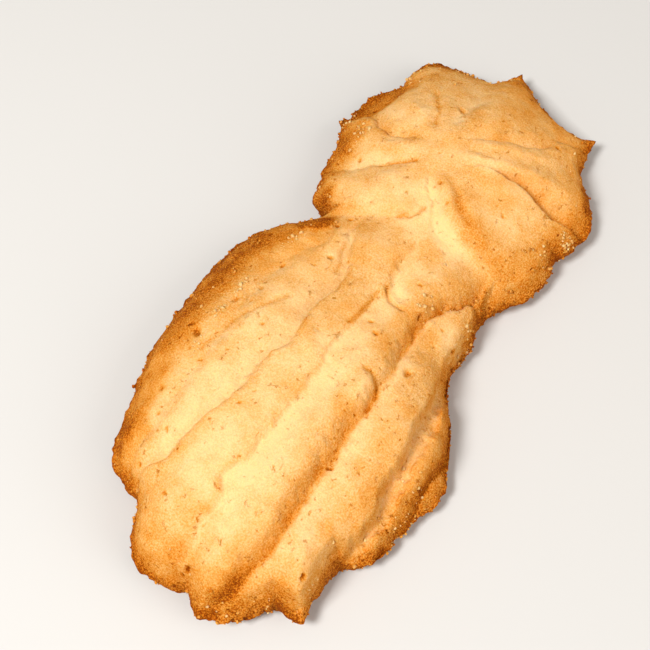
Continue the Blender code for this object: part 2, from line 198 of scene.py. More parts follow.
# Across each ridge of the head, anticlockwise: (share of the width, height, browning).
HEAD_RIDGES = (
    (
        (0.0, 0.0, 0.0), (0.15, 0.25, 0.06), (0.32, 1.0, 0.32), (0.65, 1.4, 0.36), (1.0, 1.25, 0.37),
    ),
    # the crease at this ridge's end and the start of the next ridge are browned more: partly real browning, partly
    # painted shade below the fold
    ((0.0, 1.25, 0.37), (0.5, 1.3, 0.34), (0.9, 1.1, 0.36), (1.0, -0.4, 0.58)),
    (
        (0.0, -0.4, 0.58), (0.12, -0.1, 0.5), (0.35, 0.8, 0.36), (0.6, 1.3, 0.28), (0.85, 1.15, 0.27),
        (1.0, 1.1, 0.27),
    ),
    ((0.0, 1.1, 0.27), (0.12, 1.12, 0.27), (0.4, 1.3, 0.28), (0.85, 0.9, 0.27), (1.0, 0.3, 0.34)),
    ((0.0, 0.3, 0.36), (0.2, 0.7, 0.4), (0.5, 1.1, 0.38), (0.8, 0.8, 0.34), (1.0, 0.2, 0.18)),
    ((0.0, 0.2, 0.18), (0.5, 0.4, 0.26), (0.85, 0.36, 0.3), (1.0, 0.42, 0.34)),
    (
        (0.0, 0.42, 0.34), (0.2, 0.95, 0.3), (0.42, 1.4, 0.26), (0.7, 1.05, 0.2), (0.9, 0.4, 0.32),
        (1.0, 0.0, 0.42),
    ),
    (
        (0.0, 0.0, 0.42), (0.12, 0.75, 0.38), (0.4, 1.2, 0.24), (0.8, 0.7, 0.08), (1.0, 0.4, 0.1),
    ),
    ((0.0, 0.4, 0.2), (0.12, 0.9, 0.26), (0.35, 1.3, 0.18), (0.75, 1.0, 0.08), (1.0, 0.2, 0.06)),
    ((0.0, 0.2, 0.08), (0.3, 0.5, 0.14), (0.75, 0.4, 0.12), (1.0, 0.0, 0.0)),
)
# Added browning along the biscuit: (y, browning).
BROWNED_ALONG = (
    (-46.0, 0.18), (-38.0, 0.05), (-28.0, 0.0), (-17.0, 0.06), (-10.0, 0.1), (-4.0, 0.17), (6.0, 0.16),
    (14.0, 0.05), (24.0, 0.02), (38.0, 0.07), (45.0, 0.2),
)
HEAD_RELIEF_FROM = (2.0, 10.0)  # the head's ridges rise over these distances from its peak
BULB_ENDS_AT = (5.0, 12.0)  # the ridges of the bulb fade out over these y
HEAD_STARTS_AT = (7.0, 14.0)  # the ridges of the head come in over these y

# Places with a shape of their own: (x, y, degrees from +Y, half width, half length, height,
# browning). Where marked below, the browning holds painted shade in hollows and, at the fourth
# ridge's end, painted light.
SPOTS = (
    (7.6, -15.2, 0.0, 1.3, 2.4, 0.9, -0.22),  # the nub of dough at the side of the deep groove
    (8.9, -11.0, 0.0, 1.4, 2.4, 0.7, -0.3),  # the dough that bridges the groove beyond the nub
    (9.2, -4.4, -12.0, 1.0, 4.4, 0.3, -0.16),  # the groove fades out towards the neck
    # the dimple's browning is partly real browning and partly painted shade on its shaded side
    (6.7, 16.6, 42.0, 0.8, 3.0, -0.5, 0.3),  # the dimple in the head's right flank
    (4.8, 0.4, 50.0, 0.7, 1.5, -0.25, -0.15),  # the pale hollow behind the curved crack
    # a small pit, its browning painted shade in it
    (10.9, -9.8, 0.0, 0.5, 0.6, -0.5, 0.5),
    (-2.6, -12.0, 40.0, 1.3, 3.2, 0.25, 0.12),
    (-10.9, 7.3, -60.0, 1.6, 2.4, 0.6, 0.9),  # the knobs at both sides of the left notch
    (-12.8, 12.4, -40.0, 1.4, 1.9, 0.3, 0.75),
    (15.4, -7.2, 0.0, 1.0, 2.4, -0.3, 0.0),  # the dark pocket where the right valley starts
    (13.6, -1.6, 20.0, 1.8, 3.2, 0.2, -0.3),  # the pale shoulder beside it
    (15.4, -0.6, 0.0, 2.2, 4.4, 0.2, -0.5),
    # the swollen low end of the fourth ridge; its paler colour here and just below is painted light on the flank
    # that faces away from the lamps
    (12.0, -39.0, 20.0, 2.8, 5.5, 1.2, -0.36),
    (13.2, -35.4, 20.0, 1.9, 4.2, 0.6, -0.2),
    (13.0, 4.6, 0.0, 3.4, 6.0, 0.0, -0.17),
    (-16.7, -32.8, -60.0, 2.2, 3.0, 0.0, 0.2),
    (-5.4, -40.8, -90.0, 2.8, 6.0, 0.0, 0.13),
    (-13.8, -38.8, -40.0, 1.8, 3.2, 0.0, -0.3),
    (-14.2, 21.0, 0.0, 2.4, 5.6, 0.0, 0.5),
    (-6.0, 21.4, -85.0, 1.2, 6.0, 0.0, 0.1),
    (4.2, 17.8, 42.0, 0.9, 2.4, 0.4, -0.05),
    (2.6, 16.4, 35.0, 1.2, 3.4, 0.0, -0.2),
    (5.8, 12.4, 52.0, 1.5, 4.2, -0.1, -0.28),  # the pale strip where the head starts
    (10.6, 17.6, -60.0, 1.6, 4.0, 0.0, -0.1),
    (-20.4, -24.5, 10.0, 1.8, 4.5, 0.0, -0.16),  # the left flank, paler towards its low end
    (-18.4, -30.8, 10.0, 1.8, 3.0, 0.0, 0.18),
    (-17.4, -7.8, 10.0, 2.0, 6.0, 0.0, 0.1),
    (21.8, 24.0, 0.0, 2.0, 5.0, 0.0, 0.12),
    (13.6, 17.8, -50.0, 2.6, 5.0, 0.0, -0.08),
    (2.2, 10.6, 0.0, 2.4, 2.6, 0.0, -0.12),
    (12.4, -9.0, 10.0, 2.4, 5.0, 0.0, -0.12),
    (6.9, 24.2, -90.0, 1.3, 3.6, 0.6, -0.2),  # the fold beyond it starts only at its end
    (0.1, 30.5, 0.0, 1.3, 1.5, -0.2, -0.2),
    # a small hole, its browning painted shade in it
    (-0.2, 32.6, 60.0, 0.5, 0.8, -0.4, 0.35),
    # the low flank's browning is partly real browning and partly painted shade
    (-13.4, 33.6, -30.0, 3.0, 5.6, -2.4, 0.52),  # the low flank between two lobes of the head
    (-9.4, 41.0, -30.0, 1.8, 3.0, 0.3, -0.35),  # the bright end of the lobe above it
    (-4.6, 30.0, -25.0, 1.6, 2.6, 0.1, -0.12),
    (-6.0, 24.0, 70.0, 1.2, 2.2, 0.1, -0.1),
    (-13.3, -35.2, 40.0, 1.5, 3.2, 0.5, 0.0),  # where the groove beside the second ridge ends
    (5.0, -45.8, 30.0, 2.4, 2.8, 0.0, 0.26),
    (0.6, 44.8, 90.0, 1.3, 5.0, 0.0, 0.2),
    # the browning of these pores is painted shade in them
    (-16.7, -17.0, 40.0, 0.5, 0.7, -0.6, 0.5),  # single deep pores
    (-14.1, -10.5, 0.0, 0.35, 0.5, -0.5, 0.45),
    (-12.0, -7.4, 70.0, 0.3, 0.4, -0.4, 0.4),
    (-16.6, -25.8, 0.0, 0.3, 0.45, -0.4, 0.4),
    (21.4, 31.0, 30.0, 1.5, 4.0, 0.0, 0.5),  # the brown edges of the head's right side
    (18.2, 39.0, 0.0, 1.4, 4.5, 0.0, 0.25),
    (20.0, 13.2, -20.0, 1.8, 4.4, 0.0, -0.12),
)
# Cracks: half width, depth, browning, and the points (x, y) that they run through. The
# browning of a crack is painted shade along it.
CRACKS = (
    (0.28, 0.5, 0.22, ((2.8, 0.4), (3.6, -0.5), (4.4, -1.2), (5.4, -1.5), (6.7, -1.8))),
    (0.35, 0.3, 0.34, ((6.4, -12.9), (7.6, -13.0), (8.6, -14.3), (9.0, -15.9), (8.7, -17.4))),
    (0.45, 0.25, 0.2, ((-7.9, -6.9), (-10.7, -10.7), (-13.2, -14.6), (-14.8, -19.0))),
    (0.5, 0.12, 0.2, ((-5.3, 35.0), (-4.4, 33.3), (-3.7, 31.8))),
    (0.25, 0.15, 0.2, ((-3.7, 31.8), (-2.9, 30.1), (-2.3, 28.6))),
    (0.28, 0.45, 0.45, ((-6.4, 19.2), (-5.2, 20.1), (-4.0, 20.7), (-2.5, 21.5))),
    (0.22, 0.3, 0.25, ((-5.4, 4.6), (-4.6, 1.6), (-4.4, -0.6))),
    (0.25, 0.4, 0.3, ((2.4, -0.9), (2.1, -4.0), (1.5, -7.0))),
    (0.2, 0.35, 0.35, ((-0.9, 12.0), (-0.2, 12.5), (0.9, 12.4), (1.9, 13.4), (2.3, 14.9))),
    (1.5, -0.15, 0.18, ((8.8, 15.2), (11.0, 13.2), (13.2, 12.0), (15.4, 11.2))),
)


def smooth_step(low, high, value):
    """0 up to low, 1 from high on, and 3t^2 - 2t^3 between."""
    t = np.clip((value - low) / (high - low), 0.0, 1.0)
    return t * t * (3.0 - 2.0 * t)


def through(points, at):
    """A curve through (place, value) points: a cubic from point to point. Its slope at a point
    is the harmonic mean of the slopes to both sides, and level where one rises and one falls."""
    places, values = np.array(points, float).T
    steps = np.diff(places)
    slopes = np.diff(values) / steps
    product = slopes[:-1] * slopes[1:]
    total = np.where(product > 0, slopes[:-1] + slopes[1:], 1.0)
    bends = np.concatenate([slopes[:1], np.where(product > 0, 2.0 * product / total, 0.0), slopes[-1:]])
    i = np.clip(np.searchsorted(places, at, side="right") - 1, 0, len(steps) - 1)
    t = np.clip((at - places[i]) / steps[i], 0.0, 1.0)
    rise = t * t * (3.0 - 2.0 * t)
    lean_in, lean_out = t * (1.0 - t) ** 2, t * t * (t - 1.0)
    line = values[i] + (values[i + 1] - values[i]) * rise
    return line + steps[i] * (lean_in * bends[i] + lean_out * bends[i + 1])


def arc_chain(entries, last):
    """Points (x, y, lift) along the arcs, and the index of each corner. An arc is the parabola
    from a corner through its middle point to the next corner."""
    t = np.linspace(0.0, 1.0, SIDE_POINTS, endpoint=False)[:, None]
    corners = [np.array(corner) for corner, _ in entries] + [np.array(last)]
    pieces = []
    for start, end, (_, middle) in zip(corners, corners[1:], entries):
        half_way = np.array([*middle, (start[2] + end[2]) / 2])
        pull = 2.0 * half_way - (start + end) / 2
        pieces.append((1 - t) ** 2 * start + 2 * t * (1 - t) * pull + t**2 * end)
    pieces.append(corners[-1][None])
    return np.concatenate(pieces), SIDE_POINTS * np.arange(len(corners))


def spread(chain, corners, count):
    """count + 1 points spaced evenly along the chain, the nearest one moved to each corner."""
    steps = np.linalg.norm(np.diff(chain[:, :2], axis=0), axis=1)
    length = np.concatenate([[0.0], np.cumsum(steps)])
    places = np.linspace(0.0, length[-1], count + 1)
    for corner in length[corners]:
        places[np.argmin(np.abs(places - corner))] = corner
    return np.stack([np.interp(places, length, chain[:, i]) for i in range(3)], axis=1)


def rim():
    """The rim's (x, y, lift) in columns, anticlockwise from the tip of the round end."""
    past_neck = COLUMNS_A_SIDE - NECK_COLUMN
    sides = []
    for to_neck, from_neck in (
        (RIGHT_RIM_TO_NECK, RIGHT_RIM_FROM_NECK),
        (LEFT_RIM_TO_NECK, LEFT_RIM_FROM_NECK),
    ):
        bulb = spread(*arc_chain(to_neck, from_neck[0][0]), NECK_COLUMN)
        head = spread(*arc_chain(from_neck, HEAD_TIP), past_neck)
        sides.append(np.concatenate([bulb[:-1], head]))
    return np.concatenate([sides[0], sides[1][-2:0:-1]])


def spine_places(columns):
    """How far along the spine (0 to 1) each column starts. The columns of the two ends fan out
    from the spine's ends, and the left column of a pair starts where the right one does."""
    side = np.minimum(np.arange(columns), columns - np.arange(columns)) / (columns / 2)
    return smooth_step(0.10, 0.86, side)


def evened(outline, reach):
    """The closed outline averaged over reach columns to each side."""
    return sum(np.roll(outline, shift, axis=0) for shift in range(-reach, reach + 1)) / (2 * reach + 1)


def lattice(seed, *shape):
    """Random numbers from 0 to 1 for the corners of a grid that repeats in each direction."""
    return np.random.default_rng(seed).random(shape)


def cloudy(places, size, seed):
    """Soft noise from -1 to 1 at (..., 3) places: random values at grid corners that are size
    apart, blended between the corners by a smooth step along each axis."""
    table = lattice(seed, 64, 64, 64)
    cell = np.floor(places / size)
    share = places / size - cell
    share = share * share * (3.0 - 2.0 * share)
    low = cell.astype(int) % 64
    high = (low + 1) % 64
    total = 0.0
    for corner in np.ndindex(2, 2, 2):
        index = [np.where(side, high[..., axis], low[..., axis]) for axis, side in enumerate(corner)]
        weight = np.prod([share[..., a] if side else 1.0 - share[..., a] for a, side in enumerate(corner)], axis=0)
        total = total + weight * table[tuple(index)]
    return 2.0 * total - 1.0


def pores(places, spacing, presence, radius, seed):
    """How deep (0 to 1) each place lies in a pore. Each cell of a grid has one pore at a random
    place, if a random number is under presence. It is longer in a random direction."""
    table = lattice(seed, 32, 32, 32, 8)
    cell = np.floor(places / spacing)
    deepest = np.zeros(places.shape[:-1])
    for shift in np.ndindex(3, 3, 3):
        near = cell + np.array(shift) - 1.0
        draws = table[tuple(np.moveaxis(near.astype(int) % 32, -1, 0))]
        away = places - (near + draws[..., :3]) * spacing
        axis = draws[..., 3:6] - 0.5
        axis = axis / (np.linalg.norm(axis, axis=-1, keepdims=True) + 1e-6)
        reach = np.sqrt(np.maximum((away**2).sum(-1) - 0.8 * (away * axis).sum(-1) ** 2, 0.0))
        size = radius * (0.45 + 0.9 * draws[..., 6] ** 2)
        depth = np.where(draws[..., 7] < presence, 1.0 - smooth_step(0.5, 1.0, reach / size), 0.0)
        deepest = np.maximum(deepest, depth * (0.4 + 0.6 * size / radius / 1.35))
    return deepest


def ridges(place, boundaries, profiles):
    """Height and browning across a row of ridges. Each profile fills the width between two
    neighbouring boundaries."""
    place = np.clip(place, boundaries[0], boundaries[-1] - 1e-6)
    height, browning = np.zeros_like(place), np.zeros_like(place)
    for start, end, profile in zip(boundaries, boundaries[1:], profiles):
        share = (place - start) / (end - start)
        inside = (share >= 0) & (share < 1)
        knots = np.array(profile)
        height[inside] = through(knots[:, [0, 1]], share[inside])
        browning[inside] = through(knots[:, [0, 2]], share[inside])
    return height, browning


def bulb_relief(x, y):
    """The ridges of the bulb, side by side across x."""
    return ridges(x, [through(line, y) for line in BULB_LINES], BULB_RIDGES)


def head_relief(x, y):
    """The ridges of the head, side by side round its peak, where they die out."""
    across, along = x - HEAD_PEAK[0], y - HEAD_PEAK[1]
    distance = np.hypot(across, along)
    creases = [through(crease, distance) for crease in HEAD_CREASES]
    turn = creases[0] + np.mod(np.degrees(np.arctan2(along, across)) - creases[0], 360.0)
    height, browning = ridges(turn, creases, HEAD_RIDGES)
    strength = smooth_step(*HEAD_RELIEF_FROM, distance)
    return 1.35 * height * strength + 0.75 * (1 - strength), 0.28 + (browning - 0.28) * strength


def spots_and_cracks(x, y):
    """What the single places add to height and browning: a soft-edged ellipse for a spot, and a
    soft-edged groove along its points for a crack. Some of this browning is painted shade, in
    cracks, pores and hollows, and some paler colour is painted light on a shaded flank."""
    height, browning = np.zeros_like(x), np.zeros_like(x)
    for spot_x, spot_y, turn, half_width, half_length, rise, brown in SPOTS:
        angle = np.radians(turn)
        across = (x - spot_x) * np.cos(angle) + (y - spot_y) * np.sin(angle)
        along = (y - spot_y) * np.cos(angle) - (x - spot_x) * np.sin(angle)
        share = np.exp(-(((across / half_width) ** 2 + (along / half_length) ** 2) ** 1.5))
        height += rise * share
        browning += brown * share
    for half_width, depth, brown, points in CRACKS:
        nearest = np.full_like(x, np.inf)
        for (x0, y0), (x1, y1) in zip(points, points[1:]):
            run = (x1 - x0) ** 2 + (y1 - y0) ** 2
            t = np.clip(((x - x0) * (x1 - x0) + (y - y0) * (y1 - y0)) / run, 0.0, 1.0)
            nearest = np.minimum(nearest, np.hypot(x - x0 - t * (x1 - x0), y - y0 - t * (y1 - y0)))
        share = np.exp(-((nearest / half_width) ** 2))
        height -= depth * share
        browning += brown * share
    return height, browning


def crust(x, y, out, spine_y, evened_out, rim_height):
    """Height and browning of the crust. The dome goes from the spine's height to the rim's, and
    the ridges lie on it. out is the share of the way to the rim, evened_out the share to the rim
    without its lobes."""
    place = np.stack([x, y, np.zeros_like(x)], axis=-1)
    shift_x = 0.5 * cloudy(place, 2.6, 11) + 0.2 * cloudy(place, 0.9, 12) + 0.08 * cloudy(place, 0.45, 15)
    shift_y = 0.5 * cloudy(place, 2.6, 13) + 0.2 * cloudy(place, 0.9, 14) + 0.08 * cloudy(place, 0.45, 16)
    share = np.clip(evened_out, 0.0, 1.0)
    fall = (1.0 - share ** through(DOME_SHOULDERS, spine_y)) ** through(DOME_FLANKS, spine_y)
    bulb, bulb_browning = bulb_relief(x + shift_x, y + shift_y)
    head, head_browning = head_relief(x + shift_x, y + shift_y)
    single, single_browning_and_shade = spots_and_cracks(x + 0.6 * shift_x, y + 0.6 * shift_y)
    bulb_share = 1.0 - smooth_step(*BULB_ENDS_AT, y)
    head_share = smooth_step(*HEAD_STARTS_AT, y)
    relief = bulb * bulb_share + head * head_share + single
    above_rim = (through(SPINE_HEIGHTS, spine_y) - rim_height) * fall + relief
    height = rim_height + above_rim * np.sqrt(np.clip((1.0 - out) / LIP, 0.0, 1.0))
    browning = bulb_browning * bulb_share + head_browning * head_share
    browning += 0.22 * (1.0 - bulb_share) * (1.0 - head_share) + single_browning_and_shade
    browning += through(BROWNED_ALONG, y)
    return height, browning


def dough_rows():
    """The rows of points (x, y, z), from the one round the spine over the crust and the edge to
    the base, each with the browning of its points and their distance from the rim. The middle
    of the rim's box is the origin."""
    edge = rim()
    columns = len(edge)
    middle = (edge[:, :2].min(axis=0) + edge[:, :2].max(axis=0)) / 2
    edge[:, :2] -= middle
    spine_y = -25.0 + 50.0 * spine_places(columns)
    spine = np.stack([through(SPINE_LINE, spine_y), spine_y], axis=1) - middle
    away = edge[:, :2] - spine
    without_lobes = np.linalg.norm(evened(edge[:, :2], LOBE_BLUR) - spine, axis=1)
    reach = np.linalg.norm(away, axis=1, keepdims=True)
    rim_height = RIM_HEIGHT + edge[:, 2]

    rows, brownings, insets = [], [], []
    for share in np.linspace(0.0, 1.0, CRUST_ROWS) ** (1.0 / ROWS_TOWARDS_RIM):
        out = SPINE_RADIUS / reach + (1.0 - SPINE_RADIUS / reach) * share
        place = spine + away * out
        evened_out = (out * reach)[:, 0] / without_lobes
        height, browning = crust(*place.T, out[:, 0], spine_y, evened_out, rim_height)
        rows.append(np.column_stack([place, height]))
        brownings.append(browning)
        insets.append(((1.0 - out) * reach)[:, 0])
    soft_edge = evened(edge[:, :2], SCALLOP_BLUR)
    for inset, height_share, softened in EDGE_ROWS:
        outline = edge[:, :2] + (soft_edge - edge[:, :2]) * softened
        rows.append(np.column_stack([outline - away / reach * inset, rim_height * height_share]))
        brownings.append(0.75 + 0.2 * softened + np.zeros(columns))
        insets.append(np.zeros(columns))
    foot = rows[-1][:, :2]
    for share in BASE_ROWS:
        rows.append(np.column_stack([spine + (foot - spine) * share, np.zeros(columns)]))
        brownings.append(0.62 + 0.25 * share**3 + np.zeros(columns))
        insets.append(np.full(columns, 9.0))
    rows.append(np.column_stack([spine + away / reach * SPINE_RADIUS, np.zeros(columns)]))
    brownings.append(np.full(columns, 0.62))
    insets.append(np.full(columns, 9.0))
    return np.array(rows), np.array(brownings), np.array(insets), away / reach


def outward(rows):
    """The direction square to the surface at each point of the grid, from its neighbours."""
    along = np.roll(rows, -1, axis=1) - np.roll(rows, 1, axis=1)
    across = np.gradient(rows, axis=0)
    square = np.cross(across, along)
    return square / (np.linalg.norm(square, axis=-1, keepdims=True) + 1e-9)


# ---------------------------------------------------------------------------------------------
# The crust: dry baked dough of flour, butter and sugar. Its surface crumbles at the rim and is
# full of small pores, and the places that stood highest and nearest the edge browned the most.

CRUMBLE = 0.34  # how far the rim's outline wanders in and out
UNDULATION = 0.14  # soft swellings of the crust, 4 mm apart
GRAIN = 0.09  # sandy grains under the crust, where it is rough
PORE_DEPTH = 0.40

rows, browning, inset, outwards = dough_rows()
edge_share = np.exp(-inset / 1.2)[..., None]
wander = cloudy(rows, 1.4, 21) + 0.7 * cloudy(rows, 0.6, 22)
rows[..., :2] += CRUMBLE * wander[..., None] * edge_share * outwards[None]

square = outward(rows)
on_crust = (rows[..., 2] > 0.0) * 1.0
edge_browning = 0.72 * np.exp(-inset / 1.6) + 0.22 * np.exp(-inset / 6.0)
bake = 1.0 - (1.0 - np.clip(browning, -0.12, 0.9)) * (1.0 - edge_browning * on_crust)
bake += 0.06 * cloudy(rows, 5.0, 31) + 0.04 * cloudy(rows, 1.6, 32)
bake = np.clip(bake, 0.0, 1.0)
roughness = 1.1 * (bake - 0.3) + 0.25 * cloudy(rows, 6.0, 33) + 0.3 * np.exp(-inset / 2.0) + 0.1
roughness = np.clip(roughness, 0.05, 1.0)

frayed = rows + 0.22 * np.stack([cloudy(rows, 0.5, seed) for seed in (43, 44, 45)], axis=-1)
pore = pores(frayed, 3.6, 0.4, 0.42, 41)
pore = np.maximum(pore, 0.8 * pores(frayed, 1.9, 0.35, 0.26, 42))
height = UNDULATION * cloudy(rows, 4.0, 51) + 0.08 * cloudy(rows, 1.7, 52)
height += GRAIN * roughness * (cloudy(rows, 0.75, 53) + 0.9 * cloudy(rows, 0.42, 54))
height -= PORE_DEPTH * pore
rows += square * (height * on_crust)[..., None]
rows[..., 2] = np.maximum(rows[..., 2], 0.0)


def closed_mesh(name, rows):
    """A mesh with a face between each four neighbours of the grid. The first and the last row
    are each closed by a strip of faces across the spine, from a right column to its left one."""
    count, columns = rows.shape[:2]
    index = np.arange(count * columns).reshape(count, columns)
    beside = np.roll(index, -1, axis=1)
    faces = np.stack([index[:-1], index[1:], beside[1:], beside[:-1]], axis=-1).reshape(-1, 4).tolist()
    for row, order in ((index[0], 1), (index[-1], -1)):
        loop = row.tolist()
        for right in range(columns // 2):
            left = columns - right
            corners = [loop[right], loop[right + 1], loop[left - 1], loop[left % columns]]
            faces.append(list(dict.fromkeys(corners))[::order])
    mesh = bpy.data.meshes.new(name)
    mesh.from_pydata((rows.reshape(-1, 3) * MM).tolist(), [], faces)
    return mesh


def store(mesh, name, values):
    """Keeps one number for each vertex of the mesh, for its material to read."""
    attribute = mesh.attributes.new(name, "FLOAT", "POINT")
    attribute.data.foreach_set("value", np.asarray(values, np.float32).ravel())


def linear(colour):
    """An sRGB hex colour as linear red, green, blue and alpha."""
    parts = np.array([int(colour[i : i + 2], 16) / 255 for i in (1, 3, 5)])
    parts = np.where(parts > 0.04045, ((parts + 0.055) / 1.055) ** 2.4, parts / 12.92)
    return (*parts.tolist(), 1.0)


def add_node(tree, kind, settings=None, **inputs):
    """Adds a node, sets its settings, and gives each named input a value or links it to an
    output. An input's name has _ for a space, or is its number after an i."""
    node = tree.nodes.new(kind)
    for key, value in (settings or {}).items():
        setattr(node, key, value)
    for key, value in inputs.items():
        is_number = key[0] == "i" and key[1:].isdigit()
        socket = node.inputs[int(key[1:]) if is_number else key.replace("_", " ")]
        if isinstance(value, bpy.types.NodeSocket):
            tree.links.new(value, socket)
        else:
            socket.default_value = value
    return node


# Share of full browning and the crust's own colour there, from the pale grooves to the rim.
CRUST_COLOURS = (
    (0.00, "#EDC98E"),
    (0.15, "#E8BE84"),
    (0.30, "#E2AF6E"),
    (0.45, "#DA9E53"),
    (0.60, "#D48E3B"),
    (0.75, "#CA791E"),
    (0.88, "#B8630C"),
    (1.00, "#883F08"),
)


def baked_shortbread():
    """Baked shortbread: matt, dry and sandy, its colour from cream in the grooves to brown at
    the rim. Pores, pricks and hairline cracks get painted shade, a darker colour in these small
    hollows. It gives the eye a mottled gold without any shine."""
    material = bpy.data.materials.new("baked_shortbread")
    material.use_nodes = True
    tree = material.node_tree
    surface = tree.nodes["Principled BSDF"]

    def node(kind, settings=None, **inputs):
        return add_node(tree, kind, settings, **inputs)

    def sum_of(first, second, operation="ADD", clamp=False):
        return node("ShaderNodeMath", {"operation": operation, "use_clamp": clamp}, i0=first, i1=second).outputs[0]

    place = node("ShaderNodeTexCoord").outputs["Object"]
    in_mm = node("ShaderNodeVectorMath", {"operation": "SCALE"}, Vector=place, Scale=1.0 / MM).outputs[0]
    bake = node("ShaderNodeAttribute", {"attribute_name": "bake"}).outputs["Fac"]
    pore = node("ShaderNodeAttribute", {"attribute_name": "pore"}).outputs["Fac"]

    def mottle(size, detail=2.0, roughness=0.5, output="Fac", vector=in_mm):
        return node("ShaderNodeTexNoise", None, Vector=vector, Scale=1.0 / size, Detail=detail,
                    Roughness=roughness).outputs[output]

    def between(low, high, value, to_low=0.0, to_high=1.0):
        return node("ShaderNodeMapRange", {"interpolation_type": "SMOOTHSTEP"}, Value=value, From_Min=low,
                    From_Max=high, To_Min=to_low, To_Max=to_high).outputs[0]

    rough = node("ShaderNodeAttribute", {"attribute_name": "roughness"}).outputs["Fac"]
    patches = between(0.25, 0.75, mottle(3.0), -0.1, 0.1)
    fine = mottle(0.24, 3.0, 0.7)
    speckles = sum_of(between(0.3, 0.7, fine, -1.0, 1.0), sum_of(sum_of(rough, 0.16, "MULTIPLY"), 0.13), "MULTIPLY")
    shake = node("ShaderNodeVectorMath", {"operation": "SCALE"}, Vector=mottle(0.35, 3.0, 0.7, "Color"), Scale=1.3)
    shaken = node("ShaderNodeVectorMath", None, i0=in_mm, i1=shake.outputs[0]).outputs[0]
    cells = node("ShaderNodeTexVoronoi", None, Vector=shaken, Scale=1.0 / 1.1)
    crowded = between(0.42, 0.62, mottle(4.5), 0.92, 0.42)
    present = sum_of(cells.outputs["Color"], crowded, "GREATER_THAN")
    pricks = sum_of(between(0.1, 0.2, cells.outputs["Distance"], 1.0, 0.0), present, "MULTIPLY")
    edges = node("ShaderNodeTexVoronoi", {"feature": "DISTANCE_TO_EDGE"}, Vector=shaken, Scale=1.0 / 2.3)
    broken = between(0.6, 0.68, mottle(1.3), 0.0, 1.0)
    hairlines = sum_of(between(0.01, 0.035, edges.outputs["Distance"], 1.0, 0.0), broken, "MULTIPLY")
    pricks = sum_of(pricks, hairlines, "MAXIMUM")
    # painted shade: pores, pricks and hairline cracks are coloured darker, as the shade that falls in them
    painted_pore_shade = sum_of(sum_of(pore, 0.6, "MULTIPLY"), sum_of(pricks, 0.34, "MULTIPLY"))
    darker = sum_of(sum_of(sum_of(bake, patches), speckles), painted_pore_shade, "ADD", True)

    ramp = node("ShaderNodeValToRGB", None, Fac=darker)
    elements = ramp.color_ramp.elements
    while len(elements) < len(CRUST_COLOURS):
        elements.new(0.5)
    for element, (share, colour) in zip(elements, CRUST_COLOURS):
        element.position = share
        element.color = linear(colour)

    relief = sum_of(sum_of(fine, 1.0, "MULTIPLY"), sum_of(mottle(0.7, 2.0), 1.0, "MULTIPLY"))
    sand = sum_of(sum_of(relief, sum_of(rough, 0.5), "MULTIPLY"), sum_of(pricks, 0.4, "MULTIPLY"), "SUBTRACT")
    bump = node("ShaderNodeBump", None, Strength=1.0, Distance=0.16 * MM, Height=sand)
    tree.links.new(ramp.outputs["Color"], surface.inputs["Base Color"])
    tree.links.new(bump.outputs["Normal"], surface.inputs["Normal"])
    surface.inputs["Subsurface Weight"].default_value = 0.25
    surface.inputs["Subsurface Radius"].default_value = (1.0, 0.4, 0.15)
    surface.inputs["Subsurface Scale"].default_value = 1.0 * MM
    surface.inputs["Roughness"].default_value = 0.82
    surface.inputs["Specular IOR Level"].default_value = 0.03
    surface.inputs["Metallic"].default_value = 0.0
    return material


low, high = (np.array(corner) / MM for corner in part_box("biscuit"))
rows += [*((low + high)[:2] / 2), low[2]]
crust_x, crust_y = rows[..., 0].ravel(), rows[..., 1].ravel()
mesh = closed_mesh("baked_crust", rows)
store(mesh, "bake", bake)
store(mesh, "pore", pore)
store(mesh, "roughness", roughness)
shortbread = baked_shortbread()
mesh.materials.append(shortbread)
mesh.shade_smooth()
crust_piece = bpy.data.objects.new("baked_crust", mesh)
bpy.context.collection.objects.link(crust_piece)
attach(crust_piece, "root")
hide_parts("biscuit")


# ---------------------------------------------------------------------------------------------
# Loose crumbs: grains that broke off the dough and stuck to it, most of them along the rim and
# on the roughest places. Each is a lump of a few faces, pressed a little into the crust.

CRUMBS = 800
CRUMB_SIZES = (0.08, 0.3)  # radius of the smallest and the largest grains
CRUMB_RINGS, CRUMB_SIDES = 3, 6

# Where broken crumbs lie together: (x, y, radius of the patch, crumbs), and their sizes.
CRUMB_PATCHES = (
    (21.4, 22.2, 0.9, 44), (-15.6, 27.0, 1.2, 14), (-12.6, 24.0, 1.4, 26), (-10.6, 38.6, 1.5, 16),
    (-13.4, -40.6, 0.9, 12), (2.0, -47.0, 1.4, 10), (8.0, -43.6, 1.2, 10), (15.6, 1.0, 1.4, 14),
    (19.6, 17.6, 1.0, 12), (-4.0, 44.6, 1.6, 12), (-16.8, 29.6, 1.0, 8), (18.6, -22.0, 2.6, 30),
    (20.0, -27.0, 1.4, 16), (9.2, 0.6, 1.6, 16), (-12.4, -8.0, 1.2, 12), (-13.6, -13.0, 1.2, 14),
    (-15.2, -18.6, 1.2, 10), (-10.6, 2.0, 1.6, 14),
)
PATCH_SIZES = (0.08, 0.3)


